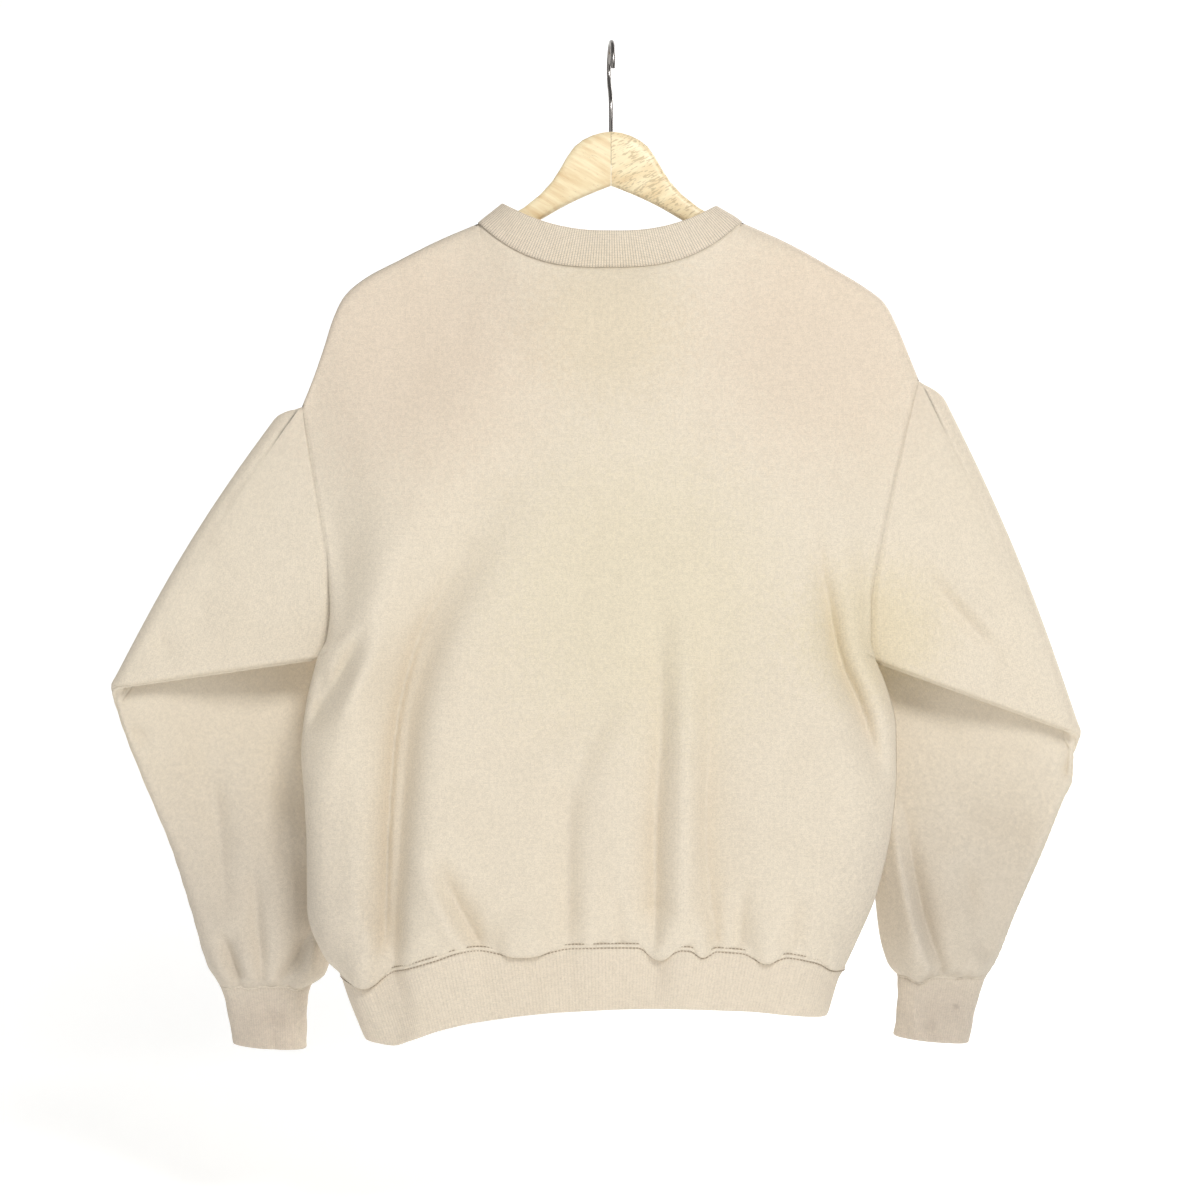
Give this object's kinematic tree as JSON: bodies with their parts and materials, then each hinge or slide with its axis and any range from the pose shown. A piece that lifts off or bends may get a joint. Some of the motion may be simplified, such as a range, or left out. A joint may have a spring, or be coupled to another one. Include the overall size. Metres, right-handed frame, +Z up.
{
  "type": "sweatshirt and hanger",
  "caption": "Crewneck sweatshirt of cream brushed fleece with ribbed collar, cuffs and waistband, hanging from a wooden coat hanger with a wire hook, its sleeves folded forward.",
  "frame": {"origin": "the point inside the top of the hook's loop, where a rail carries it", "axes": "+Z up, +X towards the wearer's right, +Y towards the garment's front"},
  "size_m": [0.828, 0.1534, 0.865],
  "materials": {
    "fleece": "brushed knit, matt",
    "rib": "rib knit, matt",
    "wood": "clear satin",
    "hook": "polished"
  },
  "bodies": {
    "root": {"back_panel": "fleece", "front_panel": "fleece", "sleeve_left": "fleece", "sleeve_right": "fleece", "collar": "rib", "waistband": "rib", "cuff_left": "rib", "cuff_right": "rib", "hanger_left": "wood", "hanger_right": "wood", "hanger_hook": "hook"}
  },
  "joints": []
}
